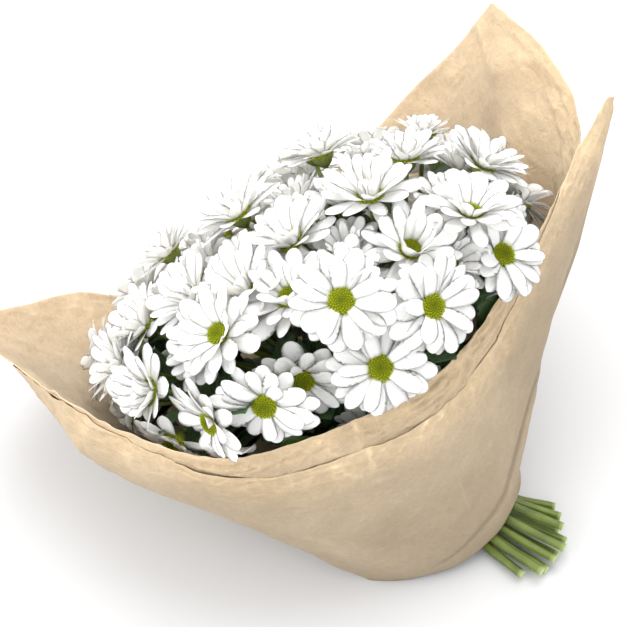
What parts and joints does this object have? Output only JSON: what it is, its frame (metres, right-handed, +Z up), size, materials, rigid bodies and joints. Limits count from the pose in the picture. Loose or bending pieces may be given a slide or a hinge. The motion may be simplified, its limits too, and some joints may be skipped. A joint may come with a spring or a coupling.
{
  "type": "bunch of chrysanthemums",
  "caption": "Bunch of white daisy-shaped spray chrysanthemums with green eyes, tied and wrapped in two sheets of brown paper, lying on its side.",
  "frame": {"origin": "on the surface that the bunch lies on, below the middle of its bounding box", "axes": "+Z up from the surface; the cut stems point to +X and -Y, and the flowers to -X, +Y and up"},
  "size_m": [0.429, 0.356, 0.2887],
  "materials": {
    "petals": "matte",
    "greens": "satin",
    "kraft_paper": "matte",
    "cord": "matte"
  },
  "bodies": {
    "root": {"paper_inner": "kraft_paper", "paper_outer": "kraft_paper", "tie": "cord", "bloom_01": "petals", "bloom_02": "petals", "bloom_03": "petals", "bloom_04": "petals", "bloom_05": "petals", "bloom_06": "petals", "bloom_07": "petals", "bloom_08": "petals", "bloom_09": "petals", "bloom_10": "petals", "bloom_11": "petals", "bloom_12": "petals", "bloom_13": "petals", "bloom_14": "petals", "bloom_15": "petals", "bloom_16": "petals", "bloom_17": "petals", "bloom_18": "petals", "bloom_19": "petals", "bloom_20": "petals", "bloom_21": "petals", "bloom_22": "petals", "bloom_23": "petals", "bloom_24": "petals", "bloom_25": "petals", "bloom_26": "petals", "bloom_27": "petals", "bloom_28": "petals", "bloom_29": "petals", "bloom_30": "petals", "bloom_31": "petals", "bloom_32": "petals", "bloom_33": "petals", "bloom_34": "petals", "bloom_35": "petals", "bloom_36": "petals", "bloom_37": "petals", "bloom_38": "petals", "bloom_39": "petals", "bloom_40": "petals", "bloom_41": "petals", "bloom_42": "petals", "bloom_43": "petals", "bloom_44": "petals", "spray_01": "greens", "spray_02": "greens", "spray_03": "greens", "spray_04": "greens", "spray_05": "greens", "spray_06": "greens", "spray_07": "greens", "spray_08": "greens", "spray_09": "greens", "spray_10": "greens", "spray_11": "greens"}
  },
  "joints": []
}
